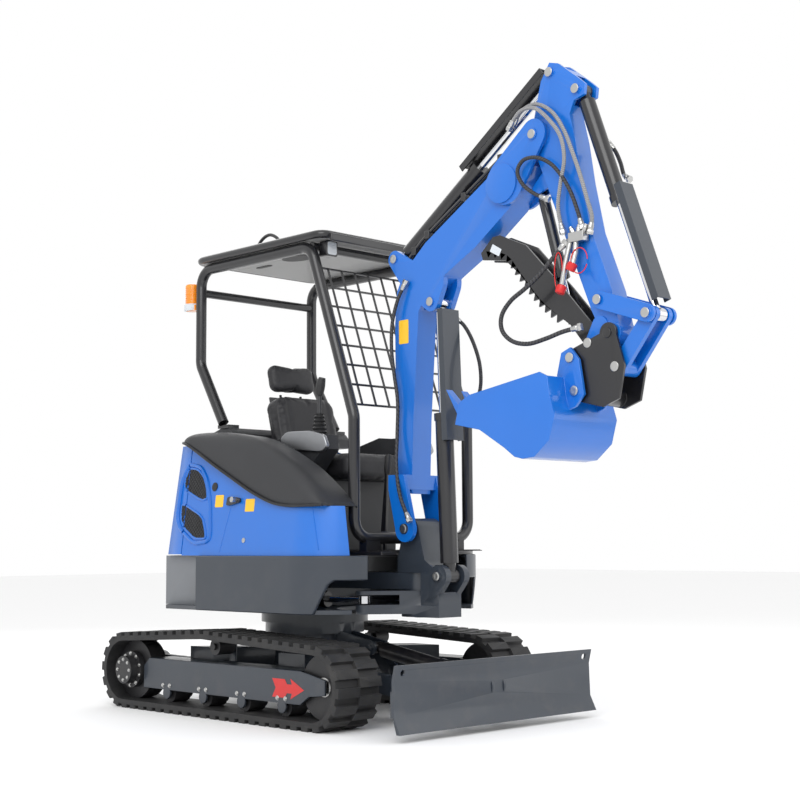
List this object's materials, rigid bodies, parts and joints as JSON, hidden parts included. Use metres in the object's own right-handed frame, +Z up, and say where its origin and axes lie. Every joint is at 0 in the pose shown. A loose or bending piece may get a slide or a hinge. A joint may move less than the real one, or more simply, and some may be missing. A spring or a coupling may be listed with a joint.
{
  "type": "mini excavator",
  "caption": "Small tracked excavator with a slewing house, open canopy, swing boom, arm, bucket with thumb and a front dozer blade.",
  "frame": {"origin": "On the floor, on the axis that the house slews about.", "axes": "+X runs forward to the dozer blade, +Y to the operator's left, +Z up."},
  "size_m": [3.1421, 1.3, 2.9463],
  "materials": {
    "barrel_black": "black gloss paint",
    "beacon_amber": "amber lens on a white base",
    "body_blue": "bright blue gloss paint",
    "canopy_black": "black satin paint",
    "cover_black": "textured black plastic",
    "engine_iron": "painted iron",
    "frame_grey": "dark slate grey paint",
    "hitch_black": "black paint on cut plate",
    "rod_chrome": "polished chrome rod",
    "roller_black": "black painted castings",
    "roof_grey": "grey under-roof paint",
    "seat_vinyl": "black vinyl",
    "track_rubber": "moulded black rubber, worn matt",
    "weight_silver": "silver grey paint"
  },
  "bodies": {
    "root": {"track_right": "track_rubber", "track_left": "track_rubber", "track_frame_right": "frame_grey", "track_frame_left": "frame_grey", "rollers_right": "roller_black", "rollers_left": "roller_black", "car_body": "frame_grey", "slew_ring": "frame_grey"},
    "blade": {"dozer_blade": "frame_grey"},
    "blade_barrel": {"blade_cylinder_barrel": "barrel_black"},
    "blade_rod": {"blade_cylinder_rod": "rod_chrome"},
    "bonnet": {"bonnet": "body_blue"},
    "swing_post": {"swing_post": "frame_grey"},
    "swing_barrel": {"swing_cylinder_barrel": "barrel_black"},
    "swing_rod": {"swing_cylinder_rod": "rod_chrome"},
    "boom": {"boom": "body_blue"},
    "boom_barrel": {"boom_cylinder_barrel": "barrel_black"},
    "boom_rod": {"boom_cylinder_rod": "rod_chrome"},
    "arm": {"arm": "body_blue"},
    "arm_barrel": {"arm_cylinder_barrel": "barrel_black"},
    "arm_rod": {"arm_cylinder_rod": "rod_chrome"},
    "rocker": {"rocker": "body_blue"},
    "bucket_link": {"bucket_link": "body_blue"},
    "bucket_barrel": {"bucket_cylinder_barrel": "barrel_black"},
    "bucket_rod": {"bucket_cylinder_rod": "rod_chrome"},
    "bucket": {"quick_hitch": "hitch_black", "bucket": "body_blue"},
    "thumb": {"thumb": "hitch_black"},
    "thumb_barrel": {"thumb_cylinder_barrel": "barrel_black"},
    "thumb_rod": {"thumb_cylinder_rod": "rod_chrome"},
    "house": {"beacon": "beacon_amber", "bulkhead": "canopy_black", "canopy_frame": "canopy_black", "canopy_roof": "roof_grey", "consoles": "cover_black", "counterweight": "weight_silver", "dome_cover": "cover_black", "engine_block": "engine_iron", "front_guard": "canopy_black", "headrest": "seat_vinyl", "left_cover": "body_blue", "operator_floor": "canopy_black", "rear_deck": "cover_black", "revolving_frame": "frame_grey", "right_cover": "body_blue", "seat_back": "seat_vinyl", "seat_base": "canopy_black", "seat_cushion": "seat_vinyl", "side_skirts": "frame_grey", "swing_anchor": "frame_grey", "travel_levers": "canopy_black", "work_lamp": "canopy_black"}
  },
  "joints": [
    {"name": "slew", "type": "hinge", "parent": "root", "child": "house", "pos_m": [0, 0, 0.484], "axis": [0, 0, 1], "continuous": true},
    {"name": "blade_lift", "type": "hinge", "parent": "root", "child": "blade", "pos_m": [0.4, 0, 0.2], "axis": [0, -1, 0], "range_deg": [-18, 20]},
    {"name": "bonnet_door", "type": "hinge", "parent": "house", "child": "bonnet", "pos_m": [-0.397, 0.556, 0.91], "axis": [0, 0, -1], "range_deg": [0, 75]},
    {"name": "boom_swing", "type": "hinge", "parent": "house", "child": "swing_post", "pos_m": [0.765, 0, 0.6], "axis": [0, 0, 1], "range_deg": [-50, 70]},
    {"name": "boom_lift", "type": "hinge", "parent": "swing_post", "child": "boom", "pos_m": [0.775, 0, 0.895], "axis": [0, -1, 0], "range_deg": [-72, 3]},
    {"name": "arm_crowd", "type": "hinge", "parent": "boom", "child": "arm", "pos_m": [1.565, 0, 2.63], "axis": [0, 1, 0], "range_deg": [-100, 3]},
    {"name": "bucket_curl", "type": "hinge", "parent": "arm", "child": "bucket", "pos_m": [1.958, 0, 1.7], "axis": [0, 1, 0], "range_deg": [-130, 10]},
    {"name": "thumb_close", "type": "hinge", "parent": "arm", "child": "thumb", "pos_m": [1.85, 0, 1.668], "axis": [0, 1, 0], "range_deg": [-42, 0]},
    {"name": "blade_barrel_turn", "type": "hinge", "parent": "root", "child": "blade_barrel", "pos_m": [0.462, 0, 0.325], "axis": [0, -1, 0], "range_deg": [-19.18, 21.31]},
    {"name": "blade_rod_slide", "type": "slide", "parent": "blade_barrel", "child": "blade_rod", "axis": [0.9866, 0, -0.163], "range_m": [-0.0459, 0.0413]},
    {"name": "boom_barrel_turn", "type": "hinge", "parent": "swing_post", "child": "boom_barrel", "pos_m": [0.955, 0, 0.675], "axis": [0, -1, 0], "range_deg": [-64.66, 2.74]},
    {"name": "boom_rod_slide", "type": "slide", "parent": "boom_barrel", "child": "boom_rod", "axis": [-0.0388, 0, 0.9992], "range_m": [-0.3035, 0.0131]},
    {"name": "arm_barrel_turn", "type": "hinge", "parent": "boom", "child": "arm_barrel", "pos_m": [0.66, 0, 2.2], "axis": [0, 1, 0], "range_deg": [-5.62, 0.22]},
    {"name": "arm_rod_slide", "type": "slide", "parent": "arm_barrel", "child": "arm_rod", "axis": [0.8155, 0, 0.5787], "range_m": [-0.425, 0.0132]},
    {"name": "thumb_barrel_turn", "type": "hinge", "parent": "arm", "child": "thumb_barrel", "pos_m": [1.545, 0, 2.395], "axis": [0, 1, 0], "range_deg": [-0.05, 10.88]},
    {"name": "thumb_rod_slide", "type": "slide", "parent": "thumb_barrel", "child": "thumb_rod", "axis": [0.2686, 0, -0.9632], "range_m": [-0.0005, 0.1226]},
    {"name": "bucket_barrel_turn", "type": "hinge", "parent": "arm", "child": "bucket_barrel", "pos_m": [1.791, 0, 2.791], "axis": [0, 1, 0], "range_deg": [-2.16, 0.21]},
    {"name": "bucket_rod_slide", "type": "slide", "parent": "bucket_barrel", "child": "bucket_rod", "axis": [0.3356, 0, -0.942], "range_m": [-0.341, 0.0267]},
    {"name": "rocker_turn", "type": "hinge", "parent": "arm", "child": "rocker", "pos_m": [1.911, 0, 1.846], "axis": [0, 1, 0], "range_deg": [-81.95, 6.35]},
    {"name": "link_turn", "type": "hinge", "parent": "rocker", "child": "bucket_link", "pos_m": [2.158, 0, 1.761], "axis": [0, 1, 0], "range_deg": [-2.65, 33.85]},
    {"name": "swing_barrel_turn", "type": "hinge", "parent": "house", "child": "swing_barrel", "pos_m": [-0.05, -0.38, 0.566], "axis": [0, 0, 1], "range_deg": [-7.75, 5.55]},
    {"name": "swing_rod_slide", "type": "slide", "parent": "swing_barrel", "child": "swing_rod", "axis": [0.9828, 0.1847, 0], "range_m": [-0.1506, 0.2106]}
  ],
  "couplings": [
    {"joint": "blade_barrel_turn", "follows": "blade_lift", "ratio": 1.063},
    {"joint": "blade_rod_slide", "follows": "blade_lift", "m_per_rad": -0.12993},
    {"joint": "boom_barrel_turn", "follows": "boom_lift", "ratio": 0.8974},
    {"joint": "boom_rod_slide", "follows": "boom_lift", "m_per_rad": 0.24113},
    {"joint": "arm_barrel_turn", "follows": "arm_crowd", "ratio": 0.0557},
    {"joint": "arm_rod_slide", "follows": "arm_crowd", "m_per_rad": 0.2432},
    {"joint": "thumb_barrel_turn", "follows": "thumb_close", "ratio": -0.2579},
    {"joint": "thumb_rod_slide", "follows": "thumb_close", "m_per_rad": -0.16656},
    {"joint": "bucket_barrel_turn", "follows": "bucket_curl", "ratio": 0.0162},
    {"joint": "bucket_rod_slide", "follows": "bucket_curl", "m_per_rad": 0.15007},
    {"joint": "rocker_turn", "follows": "bucket_curl", "ratio": 0.63},
    {"joint": "link_turn", "follows": "bucket_curl", "ratio": -0.26},
    {"joint": "swing_barrel_turn", "follows": "boom_swing", "ratio": -0.11},
    {"joint": "swing_rod_slide", "follows": "boom_swing", "m_per_rad": 0.172}
  ]
}
